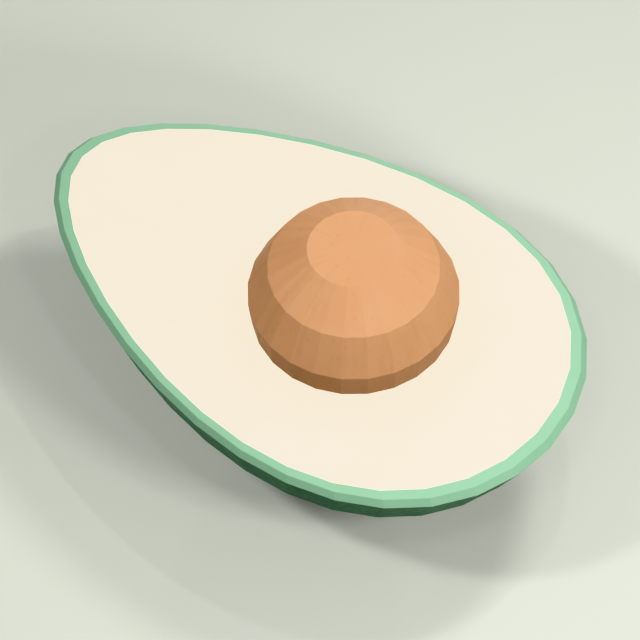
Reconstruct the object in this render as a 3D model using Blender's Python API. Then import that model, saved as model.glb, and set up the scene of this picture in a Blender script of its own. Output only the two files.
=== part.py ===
"""Avocado half, lying on its round back with the cut face up and level.

Three bodies are nested: the skin is a thin bowl, the flesh fills it and stands a
little proud of it as a green rim round the flat cream cut face, and the whole stone
sits in its socket in the flesh. +X runs along the fruit towards its wide end, +Z is
up, and the origin is on the ground under the middle of the fruit.
"""

import math

import bmesh
import bpy
from mathutils import Vector

# Driving dimensions, in metres
LENGTH = 0.110            # over the widest ring of the rim
CUT_HEIGHT = 0.030        # the cut face above the ground
SKIN_THICKNESS = 0.0012
GAP = 0.0003              # left free between bodies that touch

# The outline of the fruit is an egg: x = a cos t, y = b sin t (1 + skew cos t)
OUTLINE_SIDES = 32
OUTLINE_SLIMNESS = 0.632  # b over a
OUTLINE_SKEW = 0.26       # how much fuller the wide end is

# The rim of the flesh, as rings of the same outline: scale, and depth below the cut
CUT_EDGE = (1.0, 0.0)
RIM_EDGE = (1.041, 0.00036)
RIM_FOOT = (1.0617, 0.00182)
LEVEL_FACE_Z = 0.995      # a face of the flesh that looks this straight up is cream
HALF_LENGTH = LENGTH / 2 / RIM_FOOT[0]

# The round back, from the foot of the rim down to the flat spot that it rests on
BACK_STEPS = (0.0, 0.305, 0.53, 0.73, 0.88, 0.971)
BACK_ROUNDNESS = 1.456    # 2 would be an ellipse
BELLY_SHIFT = 0.0068      # how far the back leans towards the wide end at full depth
BELLY_ONSET = 4           # a higher power keeps the lean to the lower back

# The stone is turned about its own upright axis: radius, and height above the cut
STONE_SIDES = 24
STONE_CENTRE_X = 0.0101
STONE_CROWN_RISE = 0.0004  # the crown is a very flat cone
STONE_RINGS = (
    (0.0086, 0.0230),
    (0.0159, 0.0171),
    (0.0195, 0.0091),
    (0.0188, 0.0034),
    (0.0133, -0.0030),
    (0.0082, -0.0082),
)
SOCKET_MOUTH_RING = 3     # the last of them above the cut

# Finishes: colour as seen in daylight, 0 to 255, and roughness
SKIN_FINISH = ((47, 84, 57), 0.62)
FLESH_FINISH = ((252, 239, 215), 0.70)
RIM_FINISH = ((150, 206, 166), 0.62)
STONE_FINISH = ((214, 150, 100), 0.66)


def clear_scene():
    """Remove what the scene holds at the start."""
    for item in list(bpy.data.objects):
        bpy.data.objects.remove(item, do_unlink=True)


def make_material(name, finish):
    """A plain material of one colour, given as screen values."""
    colour, roughness = finish
    linear = [((c / 255 + 0.055) / 1.055) ** 2.4 for c in colour]
    material = bpy.data.materials.new(name)
    material.use_nodes = True
    shader = material.node_tree.nodes["Principled BSDF"]
    shader.inputs["Base Color"].default_value = (*linear, 1.0)
    shader.inputs["Roughness"].default_value = roughness
    shader.inputs["Metallic"].default_value = 0.0
    return material


def outline_ring(scale, depth, shift=0.0, inset=0.0):
    """One level ring of the fruit's outline, moved inwards by inset all round."""
    half_length = HALF_LENGTH * scale
    half_width = half_length * OUTLINE_SLIMNESS
    points = []
    for side in range(OUTLINE_SIDES):
        t = 2 * math.pi * side / OUTLINE_SIDES
        x = half_length * math.cos(t)
        y = half_width * math.sin(t) * (1 + OUTLINE_SKEW * math.cos(t))
        along = Vector((
            -half_length * math.sin(t),
            half_width * (math.cos(t) + OUTLINE_SKEW * math.cos(2 * t)),
        )).normalized()
        x -= inset * along.y
        y += inset * along.x
        points.append((x + shift, y, CUT_HEIGHT - depth))
    return points


def back_profile():
    """Scale, depth and shift of each ring of the round back, from the rim down."""
    rim_scale, rim_depth = RIM_FOOT
    full_depth = (CUT_HEIGHT - rim_depth) / BACK_STEPS[-1]
    profile = []
    for step in BACK_STEPS:
        scale = rim_scale * math.sqrt(1 - step ** BACK_ROUNDNESS)
        shift = BELLY_SHIFT * step ** BELLY_ONSET
        profile.append((scale, rim_depth + step * full_depth, shift))
    return profile


def back_rings(inset):
    """Rings of the back moved inwards, square to the back, by inset."""
    profile = back_profile()
    mean_radius = HALF_LENGTH * (1 + OUTLINE_SLIMNESS) / 2
    rings = []
    for index, (scale, depth, shift) in enumerate(profile):
        before = profile[max(index - 1, 0)]
        after = profile[min(index + 1, len(profile) - 1)]
        slope = Vector(((before[0] - after[0]) * mean_radius, after[1] - before[1])).normalized()
        inwards, upwards = slope.y * inset, slope.x * inset
        if index == 0:
            inwards, upwards = inset, 0.0
        elif index == len(profile) - 1:
            upwards = inset
        rings.append(outline_ring(scale, depth - upwards, shift, inwards))
    return rings


def stone_ring(radius, height):
    """One level ring of the stone."""
    points = []
    for side in range(STONE_SIDES):
        angle = 2 * math.pi * side / STONE_SIDES
        points.append((
            STONE_CENTRE_X + radius * math.cos(angle),
            radius * math.sin(angle),
            CUT_HEIGHT + height,
        ))
    return points


def loft(name, rings, materials, crown_rise=0.0):
    """A closed body through level rings from the top down, flat shaded."""
    mesh = bmesh.new()
    loops = [[mesh.verts.new(point) for point in ring] for ring in rings]
    for upper, lower in zip(loops, loops[1:]):
        count = len(upper)
        for side in range(count):
            following = (side + 1) % count
            mesh.faces.new((upper[side], lower[side], lower[following], upper[following]))
    top = mesh.faces.new(loops[0])
    mesh.faces.new(reversed(loops[-1]))
    if crown_rise:
        top.normal_update()
        bmesh.ops.poke(mesh, faces=[top], offset=crown_rise)
    return finish_body(name, mesh, materials)


def finish_body(name, mesh, materials):
    """Turn a bmesh into a named object with its faces out and its materials on."""
    bmesh.ops.recalc_face_normals(mesh, faces=mesh.faces)
    data = bpy.data.meshes.new(name)
    mesh.to_mesh(data)
    mesh.free()
    body = bpy.data.objects.new(name, data)
    for material in materials:
        data.materials.append(material)
    bpy.context.scene.collection.objects.link(body)
    return body


def build_skin():
    """The peel: a bowl of even thickness that stops level at the foot of the rim."""
    outer = back_rings(0.0)
    inner = back_rings(SKIN_THICKNESS)
    for rings in (outer, inner):
        rings[0] = [(x, y, z - GAP) for x, y, z in rings[0]]
    rings = list(reversed(inner)) + outer
    return loft("skin", rings, [make_material("skin_dark_green", SKIN_FINISH)])


def build_flesh():
    """The flesh: flat cut face, bevelled green rim, and a back that fits the skin."""
    rings = [outline_ring(*CUT_EDGE), outline_ring(*RIM_EDGE), outline_ring(*RIM_FOOT)]
    rings += back_rings(SKIN_THICKNESS + GAP)
    flesh = loft("flesh", rings, [
        make_material("flesh_cream", FLESH_FINISH),
        make_material("flesh_green_rim", RIM_FINISH),
    ])
    for face in flesh.data.polygons:
        if face.normal.z < LEVEL_FACE_Z:
            face.material_index = 1
    cut_socket(flesh)
    return flesh


def cut_socket(flesh):
    """Sink the stone's bed into the flesh, one gap wider and deeper than the stone."""
    *wall_rings, (floor_radius, floor_height) = STONE_RINGS[SOCKET_MOUTH_RING:]
    rings = [stone_ring(radius + GAP, height) for radius, height in wall_rings]
    rings.append(stone_ring(floor_radius + GAP, floor_height - GAP))
    cutter = loft("socket_cutter", rings, [flesh.data.materials[0]])
    cutter.hide_render = True
    cutter.display_type = "WIRE"
    cut = flesh.modifiers.new("socket", "BOOLEAN")
    cut.operation = "DIFFERENCE"
    cut.solver = "EXACT"
    cut.object = cutter


def build_stone():
    """The whole stone, with its nearly flat crown."""
    rings = [stone_ring(radius, height) for radius, height in STONE_RINGS]
    stone = [make_material("stone_brown", STONE_FINISH)]
    return loft("stone", rings, stone, crown_rise=STONE_CROWN_RISE)


def main():
    clear_scene()
    build_skin()
    build_flesh()
    build_stone()


main()
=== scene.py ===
"""An avocado half, dressed for its picture.

The half lies on its round back with the cut face up and level. Three grown pieces are
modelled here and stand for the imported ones: the dark green peel, the flesh with its
cream cut face and pale green rim, and the brown stone. Lengths are in metres. +X runs
along the fruit to its wide end, +Z is up, and the origin is on the ground under the
middle of the fruit.
"""

import logging
import math
from abc import ABC, abstractmethod
from collections.abc import Callable, Iterator, Sequence
from contextlib import contextmanager
from dataclasses import dataclass, field
from enum import Enum
from itertools import pairwise
from typing import ClassVar

import bmesh
import bpy
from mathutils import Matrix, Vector


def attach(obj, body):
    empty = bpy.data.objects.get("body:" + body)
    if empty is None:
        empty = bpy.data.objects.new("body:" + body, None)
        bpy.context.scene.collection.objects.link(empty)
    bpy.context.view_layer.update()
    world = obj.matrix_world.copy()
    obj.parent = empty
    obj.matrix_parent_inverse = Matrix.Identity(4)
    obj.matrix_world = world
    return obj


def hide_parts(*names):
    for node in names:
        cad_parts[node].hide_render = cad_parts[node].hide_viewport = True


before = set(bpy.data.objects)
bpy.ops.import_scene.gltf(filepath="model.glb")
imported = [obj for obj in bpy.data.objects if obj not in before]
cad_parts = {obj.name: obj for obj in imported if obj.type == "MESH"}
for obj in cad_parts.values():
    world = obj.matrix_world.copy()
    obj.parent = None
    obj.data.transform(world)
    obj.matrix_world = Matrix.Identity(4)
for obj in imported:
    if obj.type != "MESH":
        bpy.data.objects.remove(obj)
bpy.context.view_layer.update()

log = logging.getLogger("avocado_half")

Screen = tuple[int, int, int]
Triple = tuple[float, float, float]
MeshPart = bmesh.types.BMVert | bmesh.types.BMEdge
Wire = bpy.types.NodeSocket
Sockets = bpy.types.bpy_prop_collection
Layer = tuple[Wire, float]

# Sizes that several pieces share
CUT_HEIGHT = 0.030
STONE_CENTRE_X = 0.0101
SOFT_EDGE = 0.00010       # how far the rounding of an edge reaches to each side
FELT_TURN = 3.0           # degrees between faces, from which a fingertip feels the edge

# How near points are before they count as the same
SAME_HEIGHT = 2e-6
SAME_POINT = 1e-6
SAME_PAIR = 1e-5

# The tone curve of a screen: straight up to its knee, and a power above it
SCREEN_WHITE = 255
CURVE_KNEE, CURVE_SLOPE = 0.04045, 12.92
CURVE_LIFT, CURVE_POWER = 0.055, 2.4


class Node(str, Enum):
    """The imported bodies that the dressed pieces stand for."""

    SKIN = "skin"
    FLESH = "flesh"
    STONE = "stone"


class Slot(str, Enum):
    """The names of the material slots."""

    SKIN = "skin"
    FLESH = "flesh"
    STONE = "stone"


class Pick(str, Enum):
    """What an edit-mode selection is made of."""

    POINTS = "VERT"
    EDGES = "EDGE"


class SocketKind(str, Enum):
    """The kinds of socket that the shared effects have."""

    NUMBER = "NodeSocketFloat"
    COLOUR = "NodeSocketColor"
    PLACE = "NodeSocketVector"


class Ease(str, Enum):
    """How gently a ramp starts and ends."""

    SOFT = "SMOOTHSTEP"
    SOFTER = "SMOOTHERSTEP"


def from_screen(colour: Screen) -> tuple[float, float, float, float]:
    """Turn a screen colour into the linear one that shaders take.

    Args:
        colour: Red, green and blue as seen on a screen, 0 to 255.

    Returns:
        Linear red, green and blue, with a full alpha.
    """
    shares = (part / SCREEN_WHITE for part in colour)
    red, green, blue = (
        share / CURVE_SLOPE
        if share <= CURVE_KNEE
        else ((share + CURVE_LIFT) / (1 + CURVE_LIFT)) ** CURVE_POWER
        for share in shares
    )
    return red, green, blue, 1.0


def is_turn(edge: MeshPart) -> bool:
    """Tell whether two faces meet at the edge in a turn that a fingertip would feel."""
    return math.degrees(edge.calc_face_angle(0.0)) > FELT_TURN


class Bench:
    """One mesh on the work bench, with the hand tools that every piece needs."""

    rounding_steps: ClassVar[int] = 2

    def __init__(self, name: str) -> None:
        """Clear the bench for a new piece.

        Args:
            name: What the finished object is called.
        """
        self.name = name
        self.piece: bpy.types.Object | None = None
        bpy.ops.object.select_all(action="DESELECT")

    def lay_circle(self, sides: int, radius: float, centre: Vector, filled: bool = False) -> None:
        """Start the piece as a level circle.

        Args:
            sides: Number of points round it.
            radius: Its radius.
            centre: Its middle.
            filled: Whether a fan of triangles closes it.
        """
        bpy.ops.mesh.primitive_circle_add(
            vertices=sides,
            radius=radius,
            fill_type="TRIFAN" if filled else "NOTHING",
            location=centre,
        )
        self.piece = bpy.context.object
        self.piece.name = self.piece.data.name = self.name
        bpy.ops.object.transform_apply(location=True, rotation=True, scale=True)

    @contextmanager
    def editing(self) -> Iterator[None]:
        """Open the piece in edit mode with nothing selected, and close it afterwards.

        Returns:
            The stretch of work that goes on in edit mode.
        """
        bpy.context.view_layer.objects.active = self.piece
        bpy.ops.object.mode_set(mode="EDIT")
        bpy.ops.mesh.select_all(action="DESELECT")
        try:
            yield
        finally:
            bpy.ops.object.mode_set(mode="OBJECT")

    def select(self, pick: Pick, wanted: Callable[[MeshPart], bool]) -> None:
        """Select by place or angle, and drop what was selected before.

        Args:
            pick: Whether points or edges are looked at.
            wanted: Says of one of them whether it is selected.
        """
        bpy.ops.mesh.select_mode(type=pick.value)
        bpy.ops.mesh.select_all(action="DESELECT")
        mesh = bmesh.from_edit_mesh(self.piece.data)
        mesh.normal_update()
        parts = mesh.verts if pick is Pick.POINTS else mesh.edges
        for part in [part for part in parts if wanted(part)]:
            part.select_set(True)
        mesh.select_flush_mode()
        bmesh.update_edit_mesh(self.piece.data)

    def select_ring(self, height: float) -> None:
        """Select the edges that lie wholly at one height above the ground."""
        self.select(
            Pick.EDGES,
            lambda edge: all(abs(point.co.z - height) < SAME_HEIGHT for point in edge.verts),
        )

    def draw_on(self, move: Vector, grow: tuple[float, float], centre: Vector) -> None:
        """Extrude the selected ring by move, and grow the new one in X and Y about centre."""
        bpy.ops.mesh.extrude_region_move(TRANSFORM_OT_translate={"value": tuple(move)})
        bpy.ops.transform.resize(value=(*grow, 1.0), center_override=tuple(centre))

    def close_up(self) -> None:
        """Merge doubled points and turn every face outwards."""
        self.select(Pick.POINTS, lambda point: True)
        bpy.ops.mesh.remove_doubles(threshold=SAME_POINT)
        bpy.ops.mesh.normals_make_consistent(inside=False)

    def soften_edges(self, wanted: Callable[[MeshPart], bool]) -> None:
        """Round the wanted edges a little."""
        self.select(Pick.EDGES, wanted)
        bpy.ops.mesh.bevel(
            offset=SOFT_EDGE, segments=self.rounding_steps, affect="EDGES", clamp_overlap=True
        )

    def cut_away(self, tool: bpy.types.Object) -> None:
        """Cut a closed shape out of the piece, and put the shape away.

        Args:
            tool: The closed shape.
        """
        bpy.ops.object.select_all(action="DESELECT")
        self.piece.select_set(True)
        bpy.context.view_layer.objects.active = self.piece
        cut = self.piece.modifiers.new("cut", "BOOLEAN")
        cut.operation = "DIFFERENCE"
        cut.solver = "EXACT"
        cut.object = tool
        bpy.ops.object.modifier_apply(modifier=cut.name)
        bpy.data.meshes.remove(tool.data, do_unlink=True)


@dataclass(frozen=True)
class Level:
    """One ring of the fruit: its size against the cut edge, and where it lies."""

    scale: float
    depth: float
    lean: float = 0.0
    inset: float = 0.0


@dataclass(frozen=True)
class HalfShape:
    """The shape that the peel and the flesh share, as level rings of one egg outline.

    The outline is x = a cos t, y = b sin t (1 + skew cos t), with b = slimness times a.
    The length is measured over the foot of the rim, where the fruit is longest.
    """

    length: float = 0.110
    slimness: float = 0.632
    skew: float = 0.26
    sides: int = 32
    cut_edge: Level = Level(1.0, 0.0)
    rim_edge: Level = Level(1.041, 0.00036)
    rim_foot: Level = Level(1.0617, 0.00182)
    back_steps: tuple[float, ...] = (0.0, 0.305, 0.53, 0.73, 0.88, 0.971)
    back_roundness: float = 1.456  # 2 would be an ellipse
    belly_shift: float = 0.0068    # lean towards the wide end at full depth
    belly_onset: int = 4           # a higher power keeps the lean to the lower back

    @property
    def half_length(self) -> float:
        """Half the length of the cut edge."""
        return self.length / 2 / self.rim_foot.scale

    def height_of(self, level: Level) -> float:
        """The height of a level above the ground."""
        return CUT_HEIGHT - level.depth

    def semi_axes(self, level: Level) -> tuple[float, float]:
        """Half the length and half the width of a ring."""
        along = self.half_length * level.scale - level.inset
        return along, self.half_length * self.slimness * level.scale - level.inset

    def back_levels(self, inwards: float = 0.0) -> list[Level]:
        """List the rings of the round back, from the foot of the rim to the lowest.

        Args:
            inwards: How far inside the outside of the fruit they lie, square to it.

        Returns:
            The levels, from the top down.
        """
        full_depth = (CUT_HEIGHT - self.rim_foot.depth) / self.back_steps[-1]
        outside = [
            Level(
                self.rim_foot.scale * math.sqrt(1 - step**self.back_roundness),
                self.rim_foot.depth + step * full_depth,
                self.belly_shift * step**self.belly_onset,
            )
            for step in self.back_steps
        ]
        mean_radius = self.half_length * (1 + self.slimness) / 2
        inside = []
        for index, level in enumerate(outside):
            before = outside[max(index - 1, 0)]
            after = outside[min(index + 1, len(outside) - 1)]
            fall = Vector(((before.scale - after.scale) * mean_radius, after.depth - before.depth))
            fall.normalize()
            inset, lift = fall.y * inwards, fall.x * inwards
            if index == 0:
                inset, lift = inwards, 0.0
            elif index == len(outside) - 1:
                lift = inwards
            inside.append(Level(level.scale, level.depth - lift, level.lean, inset))
        return inside

    def lay_egg(self, bench: Bench, level: Level) -> None:
        """Lay a circle and draw it out into the egg, two opposite points at a time.

        Args:
            bench: The empty bench.
            level: The level of the ring.
        """
        centre = Vector((level.lean, 0.0, self.height_of(level)))
        along, across = self.semi_axes(level)
        bench.lay_circle(self.sides, along, centre)
        with bench.editing():
            bench.select(Pick.POINTS, lambda point: True)
            squeeze = (1.0, across / along, 1.0)
            bpy.ops.transform.resize(value=squeeze, center_override=tuple(centre))
            for step in range(1, self.sides // 2):
                lengthwise = math.cos(2 * math.pi * step / self.sides)
                place = level.lean + along * lengthwise
                bench.select(Pick.POINTS, lambda point: abs(point.co.x - place) < SAME_PAIR)
                fullness = (1.0, 1 + self.skew * lengthwise, 1.0)
                bpy.ops.transform.resize(value=fullness, center_override=tuple(centre))

    def draw_down(self, bench: Bench, levels: Sequence[Level]) -> None:
        """Extrude ring after ring from the selected one.

        Args:
            bench: The bench, with the piece in edit mode and its lowest ring selected.
            levels: The level of the selected ring, and then those to draw.
        """
        for last, level in pairwise(levels):
            old, new = self.semi_axes(last), self.semi_axes(level)
            bench.draw_on(
                Vector((level.lean - last.lean, 0.0, last.depth - level.depth)),
                (new[0] / old[0], new[1] / old[1]),
                Vector((level.lean, 0.0, self.height_of(level))),
            )


@dataclass(frozen=True)
class StoneShape:
    """The stone, turned about its upright axis. Rings are radius, height above the cut."""

    sides: int = 24
    crown_rise: float = 0.0004
    rings: tuple[tuple[float, float], ...] = (
        (0.0086, 0.0230),
        (0.0159, 0.0171),
        (0.0195, 0.0091),
        (0.0188, 0.0034),
        (0.0133, -0.0030),
        (0.0082, -0.0082),
    )
    mouth_ring: int = 3            # the last ring above the cut

    def centre(self, height: float) -> Vector:
        """The point of the axis at a height above the cut."""
        return Vector((STONE_CENTRE_X, 0.0, CUT_HEIGHT + height))

    def draw(self, bench: Bench, rings: Sequence[tuple[float, float]], rise: float) -> None:
        """Turn a closed stone shape on the bench.

        Args:
            bench: The empty bench.
            rings: Radius and height of each ring, from the top down.
            rise: How far the middle of the crown stands above the top ring.
        """
        radius, height = rings[0]
        crown = self.centre(height)
        bench.lay_circle(self.sides, radius, crown, filled=True)
        with bench.editing():
            bench.select(Pick.POINTS, lambda point: (point.co - crown).length < radius / 2)
            bpy.ops.transform.translate(value=(0.0, 0.0, rise))
            bench.select_ring(crown.z)
            for last, ring in pairwise(rings):
                bench.draw_on(
                    Vector((0.0, 0.0, ring[1] - last[1])),
                    (ring[0] / last[0], ring[0] / last[0]),
                    self.centre(ring[1]),
                )
            bpy.ops.mesh.edge_face_add()
            bench.close_up()


class NodeBoard:
    """The node tree of a material, a world or a group, and the short way to fill it."""

    def __init__(self, tree: bpy.types.NodeTree) -> None:
        """Take a tree to fill."""
        self.tree = tree

    def join(self, node: bpy.types.Node, inputs: dict[str | int, object]) -> None:
        """Fill the sockets of a node.

        Args:
            node: The node.
            inputs: A plain value, or the output of another node, for each named socket.
        """
        for socket, value in inputs.items():
            if isinstance(value, Wire):
                self.tree.links.new(value, node.inputs[socket])
            else:
                node.inputs[socket].default_value = value

    def add(
        self, kind: str, inputs: dict[str | int, object] | None = None, **settings: object
    ) -> bpy.types.Node:
        """Add a node, set it up and join it.

        Args:
            kind: Which node, as Blender names it.
            inputs: A plain value, or the output of another node, for each named socket.
            **settings: The node's own settings.

        Returns:
            The new node.
        """
        node = self.tree.nodes.new(kind)
        for setting, value in settings.items():
            setattr(node, setting, value)
        self.join(node, inputs or {})
        return node

    def reckon(self, operation: str, *values: float | Wire) -> Wire:
        """Work out a number from others, by a sum of the Math node."""
        inputs = dict(enumerate(values))
        return self.add("ShaderNodeMath", inputs, operation=operation).outputs[0]

    def reckon_place(self, operation: str, *values: Triple | Wire) -> Wire:
        """Work out a place or a length from places, by a sum of the Vector Math node."""
        node = self.add("ShaderNodeVectorMath", dict(enumerate(values)), operation=operation)
        return node.outputs["Value" if operation == "LENGTH" else "Vector"]

    def ramp(
        self,
        value: Wire,
        start: float | Wire,
        end: float | Wire,
        falling: bool = False,
        ease: Ease = Ease.SOFT,
    ) -> Wire:
        """Go softly from 0 to 1, or back, while a value goes from start to end.

        Args:
            value: The value.
            start: Where the ramp starts.
            end: Where it ends.
            falling: Whether it falls from 1 to 0.
            ease: How gently it starts and ends.

        Returns:
            The socket that holds the ramp.
        """
        first, last = (1.0, 0.0) if falling else (0.0, 1.0)
        inputs = {
            "Value": value,
            "From Min": start,
            "From Max": end,
            "To Min": first,
            "To Max": last,
        }
        return self.add("ShaderNodeMapRange", inputs, interpolation_type=ease.value).outputs[0]

    def blend(self, share: Wire, first: object, second: object) -> Wire:
        """Blend two colours, the Mix node's sockets 6 and 7, by the share of the second."""
        node = self.add("ShaderNodeMix", {0: share, 6: first, 7: second}, data_type="RGBA")
        return node.outputs[2]

    def tint(self, below: Wire, mask: Wire, share: float, colour: Screen) -> Wire:
        """Lay a colour over what is below, as far as the mask says and to a share."""
        return self.blend(self.reckon("MULTIPLY", mask, share), below, from_screen(colour))

    def stretch(self, place: Wire, scale: Triple) -> Wire:
        """Multiply the coordinates, so that a pattern runs long one way."""
        return self.add("ShaderNodeMapping", {"Vector": place, "Scale": scale}).outputs[0]

    def from_stone(self, place: Wire) -> tuple[Wire, Wire]:
        """Measure places from the axis of the stone.

        Args:
            place: The piece's own coordinates.

        Returns:
            The coordinates from the axis, with their height and without it.
        """
        inputs = {"Vector": place, "Location": (-STONE_CENTRE_X, 0.0, 0.0)}
        centred = self.add("ShaderNodeMapping", inputs).outputs[0]
        return centred, self.reckon_place("MULTIPLY", centred, (1.0, 1.0, 0.0))


class Effect(ABC):
    """A shader node group that finishes share, with the sockets that it takes and gives."""

    name: ClassVar[str]
    takes: ClassVar[dict[str, SocketKind]]
    gives: ClassVar[dict[str, SocketKind]]

    @classmethod
    def group(cls) -> bpy.types.NodeTree:
        """Find the node group, and build it the first time that it is needed.

        Returns:
            The node group.
        """
        built = bpy.data.node_groups.get(cls.name)
        if built is not None:
            return built
        tree = bpy.data.node_groups.new(cls.name, "ShaderNodeTree")
        for sockets, way in ((cls.takes, "INPUT"), (cls.gives, "OUTPUT")):
            for name, kind in sockets.items():
                tree.interface.new_socket(name, in_out=way, socket_type=kind.value)
        board = NodeBoard(tree)
        given = board.add("NodeGroupInput").outputs
        board.add("NodeGroupOutput", cls.work(board, given))
        return tree

    @classmethod
    @abstractmethod
    def work(cls, board: NodeBoard, given: Sockets) -> dict[str, Wire]:
        """Fill the group.

        Args:
            board: The group's tree.
            given: What comes into the group, by name.

        Returns:
            What goes out of the group, by name.
        """

    @classmethod
    def place(cls, board: NodeBoard, inputs: dict[str, object]) -> Sockets:
        """Place the effect in a material, and give its outputs by name."""
        return board.add("ShaderNodeGroup", inputs, node_tree=cls.group()).outputs


class Mottle(Effect):
    """Soft patches of a second colour, as ripening leaves them."""

    name = "Mottle"
    takes = {
        "Place": SocketKind.PLACE,
        "Colour": SocketKind.COLOUR,
        "Patch Colour": SocketKind.COLOUR,
        "Patch Size": SocketKind.NUMBER,
        "Amount": SocketKind.NUMBER,
    }
    gives = {"Colour": SocketKind.COLOUR}
    patch_edge: ClassVar[tuple[float, float]] = (0.34, 0.66)

    @classmethod
    def work(cls, board: NodeBoard, given: Sockets) -> dict[str, Wire]:
        """Blend the two colours by a soft cloud.

        Args:
            board: The group's tree.
            given: What comes into the group, by name.

        Returns:
            What goes out of the group, by name.
        """
        cloud = board.add(
            "ShaderNodeTexNoise",
            {
                "Vector": given["Place"],
                "Scale": board.reckon("DIVIDE", 1.0, given["Patch Size"]),
                "Detail": 3.0,
                "Roughness": 0.55,
            },
        ).outputs[0]
        patches = board.ramp(cloud, *cls.patch_edge)
        share = board.reckon("MULTIPLY", patches, given["Amount"])
        return {"Colour": board.blend(share, given["Colour"], given["Patch Colour"])}


class Grain(Effect):
    """The finest unevenness of a surface, in its height and its roughness."""

    name = "Grain"
    takes = {
        "Place": SocketKind.PLACE,
        "Grain Size": SocketKind.NUMBER,
        "Roughness": SocketKind.NUMBER,
        "Roughness Spread": SocketKind.NUMBER,
    }
    gives = {"Height": SocketKind.NUMBER, "Roughness": SocketKind.NUMBER}
    mean: ClassVar[float] = 0.5

    @classmethod
    def work(cls, board: NodeBoard, given: Sockets) -> dict[str, Wire]:
        """Read one fine noise as height, and its swing about its mean as roughness.

        Args:
            board: The group's tree.
            given: What comes into the group, by name.

        Returns:
            What goes out of the group, by name.
        """
        noise = board.add(
            "ShaderNodeTexNoise",
            {
                "Vector": given["Place"],
                "Scale": board.reckon("DIVIDE", 1.0, given["Grain Size"]),
                "Detail": 2.0,
                "Roughness": 0.6,
            },
        ).outputs[0]
        swing = board.reckon("DIVIDE", board.reckon("SUBTRACT", noise, cls.mean), cls.mean)
        spread = board.reckon("MULTIPLY", swing, given["Roughness Spread"])
        return {"Height": noise, "Roughness": board.reckon("ADD", spread, given["Roughness"])}


class Pebble(Effect):
    """Low rounded bumps set close together, with the valleys between them."""

    name = "Pebble"
    takes = {
        "Place": SocketKind.PLACE,
        "Pebble Size": SocketKind.NUMBER,
        "Unevenness": SocketKind.NUMBER,
    }
    gives = {"Height": SocketKind.NUMBER, "Valleys": SocketKind.NUMBER}
    roll_scale: ClassVar[float] = 0.3
    valley_edge: ClassVar[tuple[float, float]] = (0.25, 0.75)

    @classmethod
    def work(cls, board: NodeBoard, given: Sockets) -> dict[str, Wire]:
        """Dome every cell of a smooth cell pattern, some higher than others.

        Args:
            board: The group's tree.
            given: What comes into the group, by name.

        Returns:
            What goes out of the group, by name.
        """
        scale = board.reckon("DIVIDE", 1.0, given["Pebble Size"])
        cells = board.add(
            "ShaderNodeTexVoronoi",
            {"Vector": given["Place"], "Scale": scale, "Smoothness": 0.35},
            feature="SMOOTH_F1",
        ).outputs["Distance"]
        roll_inputs = {
            "Vector": given["Place"],
            "Scale": board.reckon("MULTIPLY", scale, cls.roll_scale),
        }
        rolling = board.add("ShaderNodeTexNoise", roll_inputs).outputs[0]
        valleys = board.ramp(cells, *cls.valley_edge)
        dome = board.reckon("SUBTRACT", 1.0, valleys)
        roll = board.reckon("MULTIPLY", rolling, given["Unevenness"])
        return {"Height": board.reckon("ADD", dome, roll), "Valleys": valleys}


class Pores(Effect):
    """Small round dots with soft edges, each a little off its place."""

    name = "Pores"
    takes = {
        "Place": SocketKind.PLACE,
        "Spacing": SocketKind.NUMBER,
        "Width": SocketKind.NUMBER,
    }
    gives = {"Mask": SocketKind.NUMBER}
    full_part: ClassVar[float] = 0.3

    @classmethod
    def work(cls, board: NodeBoard, given: Sockets) -> dict[str, Wire]:
        """Keep the heart of each cell of a cell pattern.

        Args:
            board: The group's tree.
            given: What comes into the group, by name.

        Returns:
            What goes out of the group, by name.
        """
        scale = board.reckon("DIVIDE", 1.0, given["Spacing"])
        cells = board.add("ShaderNodeTexVoronoi", {"Vector": given["Place"], "Scale": scale})
        edge = board.reckon("DIVIDE", given["Width"], given["Spacing"])
        heart = board.reckon("MULTIPLY", edge, cls.full_part)
        return {"Mask": board.ramp(cells.outputs["Distance"], heart, edge, falling=True)}


class Fibres(Effect):
    """Long fine threads. The place that comes in is already stretched along them."""

    name = "Fibres"
    takes = {"Place": SocketKind.PLACE, "Sharpness": SocketKind.NUMBER}
    gives = {"Mask": SocketKind.NUMBER, "Height": SocketKind.NUMBER}
    crest: ClassVar[float] = 0.72
    softest_foot: ClassVar[float] = 0.35
    foot_gain: ClassVar[float] = 0.2

    @classmethod
    def work(cls, board: NodeBoard, given: Sockets) -> dict[str, Wire]:
        """Keep the crests of a stretched noise.

        Args:
            board: The group's tree.
            given: What comes into the group, by name.

        Returns:
            What goes out of the group, by name.
        """
        threads = board.add(
            "ShaderNodeTexNoise",
            {
                "Vector": given["Place"],
                "Scale": 1.0,
                "Detail": 4.0,
                "Roughness": 0.6,
                "Distortion": 0.15,
            },
        ).outputs[0]
        foot = board.reckon("MULTIPLY_ADD", given["Sharpness"], cls.foot_gain, cls.softest_foot)
        return {"Mask": board.ramp(threads, foot, cls.crest), "Height": threads}


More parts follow.
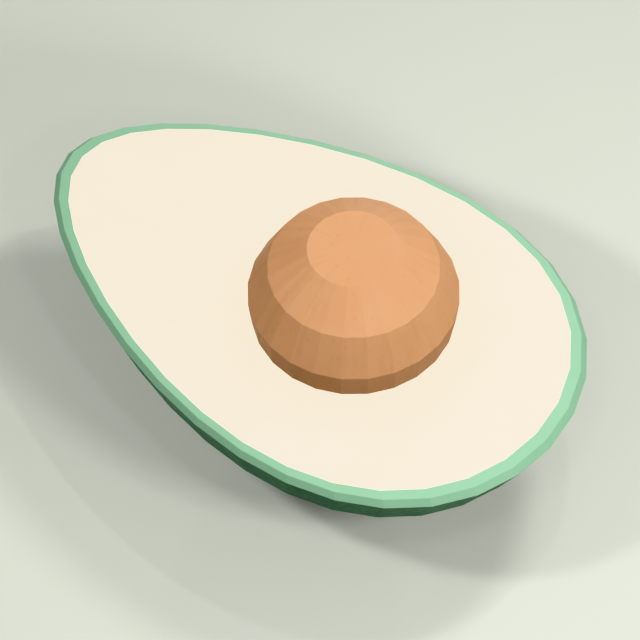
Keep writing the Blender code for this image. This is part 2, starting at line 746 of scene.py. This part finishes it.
@dataclass(frozen=True)
class Finish:
    """A surface of the picture, painted with nodes on the piece's own coordinates.

    Every finish has soft patches of a second colour under its own detail, and a fine
    grain over it. A share is how much of a colour there is where there is most of it.
    """

    name: str
    colour: Screen
    second_colour: Screen
    patch_size: float
    patch_share: float
    roughness: float
    roughness_spread: float
    grain_size: float
    grain_depth: float
    specular: float

    def paint(self) -> bpy.types.Material:
        """Make the material.

        Returns:
            The material, with its colour, roughness and relief.
        """
        material = bpy.data.materials.new(self.name)
        material.use_nodes = True
        material.diffuse_color = from_screen(self.colour)
        board = NodeBoard(material.node_tree)
        place = board.add("ShaderNodeTexCoord").outputs["Object"]
        patch_inputs = {
            "Place": place,
            "Colour": from_screen(self.colour),
            "Patch Colour": from_screen(self.second_colour),
            "Patch Size": self.patch_size,
            "Amount": self.patch_share,
        }
        grain_inputs = {
            "Place": place,
            "Grain Size": self.grain_size,
            "Roughness": self.roughness,
            "Roughness Spread": self.roughness_spread,
        }
        patches = Mottle.place(board, patch_inputs)
        grain = Grain.place(board, grain_inputs)
        colour, layers = self.detail(board, place, patches["Colour"])
        shader_inputs = {
            "Base Color": colour,
            "Roughness": grain["Roughness"],
            "Normal": self.relief(board, [*layers, (grain["Height"], self.grain_depth)]),
            "Specular IOR Level": self.specular,
        }
        board.join(material.node_tree.nodes["Principled BSDF"], shader_inputs)
        return material

    def detail(self, board: NodeBoard, place: Wire, colour: Wire) -> tuple[Wire, list[Layer]]:
        """Add what is special to a finish. A plain one adds nothing.

        Args:
            board: The material's tree.
            place: The piece's own coordinates, in metres.
            colour: The colour so far, with its patches.

        Returns:
            The colour with its detail, and layers of height with their depths in metres.
        """
        return colour, []

    def relief(self, board: NodeBoard, layers: Sequence[Layer]) -> Wire:
        """Turn layers of height into one bumpy normal.

        Args:
            board: The material's tree.
            layers: Heights with their depths in metres, the coarsest first.

        Returns:
            The normal.
        """
        normal: dict[str, Wire] = {}
        for height, depth in layers:
            inputs = {"Height": height, "Distance": depth, "Strength": 1.0, **normal}
            normal = {"Normal": board.add("ShaderNodeBump", inputs).outputs[0]}
        return normal["Normal"]


@dataclass(frozen=True)
class PeelFinish(Finish):
    """Dark green leathery peel: pebbled, with painted shade in the valleys, mottled, with small
    paler pores.
    """

    name: str = "peel"
    colour: Screen = (91, 137, 106)
    second_colour: Screen = (76, 119, 90)
    patch_size: float = 0.014
    patch_share: float = 0.6
    roughness: float = 0.62
    roughness_spread: float = 0.12
    grain_size: float = 0.0004
    grain_depth: float = 0.00001
    specular: float = 0.3
    pebble_size: float = 0.0014
    pebble_depth: float = 0.00012
    unevenness: float = 0.5
    # Painted shade: how far the valleys between the pebbles darken towards the second colour.
    valley_shade_share: float = 0.6
    pore_colour: Screen = (112, 159, 127)
    pore_spacing: float = 0.0034
    pore_width: float = 0.0009
    pore_share: float = 0.35

    def detail(self, board: NodeBoard, place: Wire, colour: Wire) -> tuple[Wire, list[Layer]]:
        """Paint shade into the valleys between the pebbles, and dot the peel with pores.

        Args:
            board: The material's tree.
            place: The piece's own coordinates, in metres.
            colour: The colour so far, with its patches.

        Returns:
            The colour with its detail, and the pebbles' height with its depth.
        """
        pebbles = Pebble.place(
            board,
            {"Place": place, "Pebble Size": self.pebble_size, "Unevenness": self.unevenness},
        )
        pores = Pores.place(
            board, {"Place": place, "Spacing": self.pore_spacing, "Width": self.pore_width}
        )
        # Painted shade in the valleys between the pebbles.
        valley_shaded = board.tint(colour, pebbles["Valleys"], self.valley_shade_share, self.second_colour)
        dotted = board.tint(valley_shaded, pores["Mask"], self.pore_share, self.pore_colour)
        return dotted, [(pebbles["Height"], self.pebble_depth)]


@dataclass(frozen=True)
class CreamFinish(Finish):
    """The buttery cut face: faint patches and fibres, with painted shade round the stone."""

    name: str = "cream_flesh"
    colour: Screen = (254, 242, 221)
    second_colour: Screen = (252, 238, 214)
    patch_size: float = 0.018
    patch_share: float = 0.35
    roughness: float = 0.68
    roughness_spread: float = 0.08
    grain_size: float = 0.0006
    grain_depth: float = 0.000006
    specular: float = 0.3
    thread_stretch: Triple = (60.0, 420.0, 420.0)
    thread_sharpness: float = 0.6
    thread_share: float = 0.10
    thread_depth: float = 0.00002
    # The threads take this colour. Round the stone it is also painted shade, standing in for the
    # stone's shadow on the cut face.
    thread_and_shade_colour: Screen = (246, 229, 197)
    shade_reach: tuple[float, float] = (0.0185, 0.030)
    shade_share: float = 0.30

    def detail(self, board: NodeBoard, place: Wire, colour: Wire) -> tuple[Wire, list[Layer]]:
        """Lay threads along the fruit, and painted shade that fades away from the stone.

        Args:
            board: The material's tree.
            place: The piece's own coordinates, in metres.
            colour: The colour so far, with its patches.

        Returns:
            The colour with its detail, and the threads' height with its depth.
        """
        along = board.stretch(place, self.thread_stretch)
        threads = Fibres.place(board, {"Place": along, "Sharpness": self.thread_sharpness})
        # Painted shade: the cream darkens towards this colour near the stone, in place of the
        # stone's shadow.
        _, level = board.from_stone(place)
        away = board.reckon_place("LENGTH", level)
        near = board.ramp(away, *self.shade_reach, falling=True, ease=Ease.SOFTER)
        threaded = board.tint(colour, threads["Mask"], self.thread_share, self.thread_and_shade_colour)
        stone_shaded = board.tint(threaded, near, self.shade_share, self.thread_and_shade_colour)
        return stone_shaded, [(threads["Height"], self.thread_depth)]


@dataclass(frozen=True)
class RimFinish(Finish):
    """The pale green outer flesh: faint patches, and threads that run round the fruit."""

    name: str = "green_rim"
    colour: Screen = (136, 179, 147)
    second_colour: Screen = (132, 175, 143)
    patch_size: float = 0.009
    patch_share: float = 0.5
    roughness: float = 0.64
    roughness_spread: float = 0.08
    grain_size: float = 0.0005
    grain_depth: float = 0.000006
    specular: float = 0.3
    thread_stretch: Triple = (150.0, 150.0, 1800.0)
    thread_sharpness: float = 0.5
    thread_share: float = 0.15
    thread_depth: float = 0.00001

    def detail(self, board: NodeBoard, place: Wire, colour: Wire) -> tuple[Wire, list[Layer]]:
        """Lay level threads.

        Args:
            board: The material's tree.
            place: The piece's own coordinates, in metres.
            colour: The colour so far, with its patches.

        Returns:
            The colour with its detail, and the threads' height with its depth.
        """
        level = board.stretch(place, self.thread_stretch)
        threads = Fibres.place(board, {"Place": level, "Sharpness": self.thread_sharpness})
        threaded = board.tint(colour, threads["Mask"], self.thread_share, self.second_colour)
        return threaded, [(threads["Height"], self.thread_depth)]


@dataclass(frozen=True)
class StoneFinish(Finish):
    """The dry brown seed coat: veins that run down from the crown, pits and grain."""

    name: str = "seed_coat"
    colour: Screen = (195, 146, 106)
    second_colour: Screen = (191, 140, 99)
    patch_size: float = 0.008
    patch_share: float = 0.6
    roughness: float = 0.68
    roughness_spread: float = 0.12
    grain_size: float = 0.0005
    grain_depth: float = 0.00001
    specular: float = 0.25
    vein_colour: Screen = (176, 124, 84)
    vein_round: Triple = (9.0, 9.0, 0.0)
    vein_drift: Triple = (30.0, 30.0, 60.0)
    vein_sharpness: float = 0.7
    vein_share: float = 0.22
    vein_depth: float = 0.00003
    pit_spacing: float = 0.0022
    pit_width: float = 0.0006
    pit_share: float = 0.18

    def detail(self, board: NodeBoard, place: Wire, colour: Wire) -> tuple[Wire, list[Layer]]:
        """Lay veins along the meridians, and small pits.

        Args:
            board: The material's tree.
            place: The piece's own coordinates, in metres.
            colour: The colour so far, with its patches.

        Returns:
            The colour with its detail, and the veins' height with its depth.
        """
        down = self.meridians(board, place)
        veins = Fibres.place(board, {"Place": down, "Sharpness": self.vein_sharpness})
        pits = Pores.place(
            board, {"Place": place, "Spacing": self.pit_spacing, "Width": self.pit_width}
        )
        veined = board.tint(colour, veins["Mask"], self.vein_share, self.vein_colour)
        pitted = board.tint(veined, pits["Mask"], self.pit_share, self.vein_colour)
        return pitted, [(veins["Height"], self.vein_depth)]

    def meridians(self, board: NodeBoard, place: Wire) -> Wire:
        """Turn places into directions round the stone's axis, with a slow drift.

        Args:
            board: The material's tree.
            place: The piece's own coordinates.

        Returns:
            Coordinates in which a noise runs down the stone in veins.
        """
        centred, level = board.from_stone(place)
        direction = board.reckon_place("NORMALIZE", level)
        spread = board.reckon_place("MULTIPLY", direction, self.vein_round)
        drift = board.reckon_place("MULTIPLY", centred, self.vein_drift)
        return board.reckon_place("ADD", spread, drift)


@dataclass(frozen=True)
class FloorFinish(Finish):
    """The plain pale floor, with very faint broad patches and a paper-fine grain."""

    name: str = "pale_floor"
    colour: Screen = (199, 203, 191)
    second_colour: Screen = (197, 201, 189)
    patch_size: float = 0.08
    patch_share: float = 0.5
    roughness: float = 0.85
    roughness_spread: float = 0.05
    grain_size: float = 0.001
    grain_depth: float = 0.000005
    specular: float = 0.2


@dataclass
class Piece(ABC):
    """One grown piece of the fruit, with the node and slot that it stands for."""

    node: Node
    slot: Slot
    casts_shadow: bool = True

    @abstractmethod
    def build(self) -> bpy.types.Object:
        """Model the piece.

        Returns:
            The closed mesh, with its place in its points.
        """

    @abstractmethod
    def dress(self, piece: bpy.types.Object) -> None:
        """Paint the piece.

        Args:
            piece: The modelled piece.
        """

    def make(self, body: str = "root") -> bpy.types.Object:
        """Model and paint the piece, and hand it over to the frame.

        Args:
            body: The body of the frame that it rides on.

        Returns:
            The finished piece.
        """
        piece = self.build()
        self.dress(piece)
        piece.visible_shadow = self.casts_shadow
        bpy.ops.object.select_all(action="DESELECT")
        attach(piece, body)
        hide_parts(self.node.value)
        return piece


@dataclass
class Peel(Piece):
    """The peel: a closed bowl of even thickness with a flat spot underneath.

    A face of it that looks further up than inner_face lines its inside.
    """

    node: Node = Node.SKIN
    slot: Slot = Slot.SKIN
    shape: HalfShape = field(default_factory=HalfShape)
    finish: Finish = field(default_factory=PeelFinish)
    thickness: float = 0.0012
    inner_face: float = 0.05

    def build(self) -> bpy.types.Object:
        """Draw the outside down from the rim, and the inside down from the same ring.

        Returns:
            The closed mesh, with its place in its points.
        """
        outside = self.shape.back_levels()
        inside = self.shape.back_levels(self.thickness)
        bench = Bench("avocado_peel")
        self.shape.lay_egg(bench, outside[0])
        with bench.editing():
            for levels in (outside, [outside[0], *inside]):
                bench.select_ring(self.shape.height_of(outside[0]))
                self.shape.draw_down(bench, levels)
                bpy.ops.mesh.edge_face_add()
            bench.close_up()
            bench.soften_edges(self.is_felt)
        return bench.piece

    def is_felt(self, edge: MeshPart) -> bool:
        """Tell whether a fingertip would feel an edge.

        Args:
            edge: An edge of the peel.

        Returns:
            Whether it is a turn on the outside of the peel, below its top.
        """
        top = self.shape.height_of(self.shape.rim_foot) - SAME_POINT
        outside = all(face.normal.z < self.inner_face for face in edge.link_faces)
        return is_turn(edge) and outside and any(point.co.z <= top for point in edge.verts)

    def dress(self, piece: bpy.types.Object) -> None:
        """Give the whole peel its one finish."""
        piece.data.materials.append(self.finish.paint())


@dataclass
class CutFlesh(Piece):
    """The flesh: flat cut face, bevelled rim, a back that fits the peel, and the socket.

    A face of it that looks further up than level_face is part of the cut face.
    """

    node: Node = Node.FLESH
    slot: Slot = Slot.FLESH
    shape: HalfShape = field(default_factory=HalfShape)
    stone: StoneShape = field(default_factory=StoneShape)
    cream: Finish = field(default_factory=CreamFinish)
    rim: Finish = field(default_factory=RimFinish)
    peel_room: float = 0.0015      # from the outside of the fruit to the flesh's back
    stone_room: float = 0.00005
    level_face: float = 0.995
    socket_above: float = 0.015    # a height that the whole socket is above

    def build(self) -> bpy.types.Object:
        """Draw the rim and the back down from the cut edge, and sink the socket.

        Returns:
            The closed mesh, with its place in its points.
        """
        bench = Bench("avocado_flesh")
        self.shape.lay_egg(bench, self.shape.cut_edge)
        levels = [self.shape.cut_edge, self.shape.rim_edge, self.shape.rim_foot]
        levels += self.shape.back_levels(self.peel_room)
        with bench.editing():
            bench.select_ring(CUT_HEIGHT)
            self.shape.draw_down(bench, levels)
            bpy.ops.mesh.edge_face_add()
            bench.select_ring(CUT_HEIGHT)
            bpy.ops.mesh.edge_face_add()
            bench.close_up()
            bench.soften_edges(self.is_felt)
        bench.cut_away(self.socket_shape())
        return bench.piece

    def socket_shape(self) -> bpy.types.Object:
        """Turn the shape of the socket.

        Returns:
            A closed shape that is a hair wider and deeper than the stone.
        """
        tool = Bench("socket_shape")
        *walls, floor = self.stone.rings[self.stone.mouth_ring :]
        rings = [(radius + self.stone_room, height) for radius, height in walls]
        rings.append((floor[0] + self.stone_room, floor[1] - self.stone_room))
        self.stone.draw(tool, rings, 0.0)
        return tool.piece

    def is_felt(self, edge: MeshPart) -> bool:
        """Tell whether an edge is a turn of the cut edge or the rim, above the rim's foot."""
        foot = self.shape.height_of(self.shape.rim_foot) + SAME_POINT
        return is_turn(edge) and any(point.co.z > foot for point in edge.verts)

    def dress(self, piece: bpy.types.Object) -> None:
        """Give the level faces and the socket the cream finish, and the rest the green one.

        Args:
            piece: The modelled flesh.
        """
        piece.data.materials.clear()
        piece.data.materials.append(self.cream.paint())
        piece.data.materials.append(self.rim.paint())
        reach = self.stone.rings[self.stone.mouth_ring][0]
        for face in piece.data.polygons:
            off_axis = math.hypot(face.center.x - STONE_CENTRE_X, face.center.y)
            in_socket = off_axis < reach and face.center.z > self.socket_above
            is_cream = face.normal.z > self.level_face or in_socket
            face.material_index = 0 if is_cream else 1


@dataclass
class Stone(Piece):
    """The whole stone, faceted as it lies in its socket."""

    node: Node = Node.STONE
    slot: Slot = Slot.STONE
    casts_shadow: bool = False
    shape: StoneShape = field(default_factory=StoneShape)
    finish: Finish = field(default_factory=StoneFinish)

    def build(self) -> bpy.types.Object:
        """Turn the stone and round its facet edges a little.

        Returns:
            The closed mesh, with its place in its points.
        """
        bench = Bench("avocado_stone")
        self.shape.draw(bench, self.shape.rings, self.shape.crown_rise)
        with bench.editing():
            bench.soften_edges(is_turn)
        return bench.piece

    def dress(self, piece: bpy.types.Object) -> None:
        """Give the whole stone its one finish."""
        piece.data.materials.append(self.finish.paint())


@dataclass
class Floor:
    """The plain pale floor that the half lies on. It is no part of the fruit."""

    side: float = 8.0
    squares: int = 8
    finish: Finish = field(default_factory=FloorFinish)

    def make(self) -> bpy.types.Object:
        """Lay the floor.

        Returns:
            The floor.
        """
        bpy.ops.object.select_all(action="DESELECT")
        bpy.ops.mesh.primitive_grid_add(
            x_subdivisions=self.squares, y_subdivisions=self.squares, size=self.side
        )
        floor = bpy.context.object
        floor.name = floor.data.name = "floor"
        floor.data.materials.append(self.finish.paint())
        return floor


@dataclass(frozen=True)
class Lamp:
    """One soft round studio light, by where it hangs from the middle of the cut face.

    Its azimuth runs from +X towards +Y. Its level is how bright a white card would look
    in the middle of the cut face, turned to the lamp. A lamp with no distance is a fill
    light: far off, without shadows or shine.
    """

    name: str
    azimuth: float
    elevation: float
    level: float
    distance: float = 0.0
    radius: float = 0.0

    def away(self) -> Vector:
        """The direction from the fruit to the lamp."""
        turn, rise = math.radians(self.azimuth), math.radians(self.elevation)
        return Vector(
            (math.cos(turn) * math.cos(rise), math.sin(turn) * math.cos(rise), math.sin(rise))
        )

    def light(self) -> bpy.types.Light:
        """Make the light itself.

        Returns:
            A disk of light, or the even light of a fill.
        """
        if not self.distance:
            fill = bpy.data.lights.new(self.name, "SUN")
            fill.energy = self.level * math.pi
            fill.use_shadow = False
            return fill
        disk = bpy.data.lights.new(self.name, "AREA")
        disk.shape = "DISK"
        disk.size = 2 * self.radius
        disk.energy = self.level * (math.pi * self.distance) ** 2
        return disk

    def hang(self, aim: Vector) -> bpy.types.Object:
        """Hang the lamp and turn it to the fruit.

        Args:
            aim: The point that it shines at.

        Returns:
            The lamp.
        """
        lamp = bpy.data.objects.new(self.name, self.light())
        bpy.context.scene.collection.objects.link(lamp)
        lamp.location = aim + (self.distance or 1.0) * self.away()
        lamp.rotation_euler = self.away().to_track_quat("Z", "Y").to_euler()
        lamp.visible_camera = False
        lamp.visible_glossy = self.distance > 0.0
        return lamp


@dataclass
class Studio:
    """The soft light of the picture: lamps round the fruit, fill lights and the room."""

    aim: Triple = (0.0, 0.0, CUT_HEIGHT)
    room_colour: Screen = (255, 255, 255)
    room_strength: float = 0.155
    tone_curve: str = "Khronos PBR Neutral"
    diffuse_bounces: int = 0
    lamps: tuple[Lamp, ...] = (
        Lamp("back_lamp", 69.5, 53.3, level=0.469, distance=0.275, radius=0.033),
        Lamp("front_lamp", 242.9, 53.1, level=0.434, distance=0.323, radius=0.020),
        Lamp("side_lamp", 344.2, 35.4, level=0.485, distance=0.211, radius=0.020),
        Lamp("low_lamp", 117.1, 2.9, level=0.300, distance=7.303, radius=0.080),
        Lamp("top_lamp", 68.8, 69.9, level=0.098, distance=0.279, radius=0.003),
        Lamp("near_lamp", 317.8, 56.8, level=0.073, distance=0.266, radius=0.011),
        Lamp("fill_above", 0.0, 90.0, level=0.20),
        Lamp("fill_front", 256.0, 0.0, level=0.10),
        Lamp("fill_left", 200.0, 20.0, level=0.07),
        Lamp("fill_right", 18.0, 0.0, level=0.20),
        Lamp("fill_below", 180.0, -75.0, level=0.26),
    )

    def make(self) -> list[bpy.types.Object]:
        """Light the fruit.

        Returns:
            The lamps.
        """
        scene = bpy.context.scene
        scene.world = bpy.data.worlds.new("soft_room")
        scene.world.use_nodes = True
        room = scene.world.node_tree
        NodeBoard(room).join(
            room.nodes["Background"],
            {"Color": from_screen(self.room_colour), "Strength": self.room_strength},
        )
        scene.view_settings.view_transform = self.tone_curve
        scene.cycles.diffuse_bounces = self.diffuse_bounces
        return [lamp.hang(Vector(self.aim)) for lamp in self.lamps]


@dataclass
class PictureCamera:
    """The camera of the picture: a parallel view, from the front right and above.

    Its azimuth runs from the front, which is -Y, towards the wide end.
    """

    azimuth: float = 36.87
    elevation: float = 54.46
    aim: Triple = (0.00493, -0.00334, CUT_HEIGHT)
    frame_width: float = 0.11687
    distance: float = 0.6
    clip: tuple[float, float] = (0.01, 10.0)

    def make(self) -> bpy.types.Object:
        """Set up the camera and make it the scene's own.

        Returns:
            The camera.
        """
        data = bpy.data.cameras.new("picture_camera")
        data.type = "ORTHO"
        data.ortho_scale = self.frame_width
        data.clip_start, data.clip_end = self.clip
        camera = bpy.data.objects.new("picture_camera", data)
        bpy.context.scene.collection.objects.link(camera)
        turn, rise = math.radians(self.azimuth), math.radians(self.elevation)
        back = Vector(
            (math.sin(turn) * math.cos(rise), -math.cos(turn) * math.cos(rise), math.sin(rise))
        )
        camera.location = Vector(self.aim) + self.distance * back
        camera.rotation_euler = (-back).to_track_quat("-Z", "Y").to_euler()
        bpy.context.scene.camera = camera
        return camera


def main() -> None:
    """Build the fruit, the floor, the lights and the camera in order, and report each."""
    logging.basicConfig(level=logging.INFO, format="%(name)s: %(message)s")
    for piece in (Peel(), CutFlesh(), Stone()):
        made = piece.make()
        faces = len(made.data.polygons)
        log.info("%s: %d faces, stands for %s", made.name, faces, piece.node.value)
    log.info("%s: laid as stage", Floor().make().name)
    log.info("studio: %d lamps", len(Studio().make()))
    log.info("%s: set up", PictureCamera().make().name)


if __name__ == "__main__":
    main()
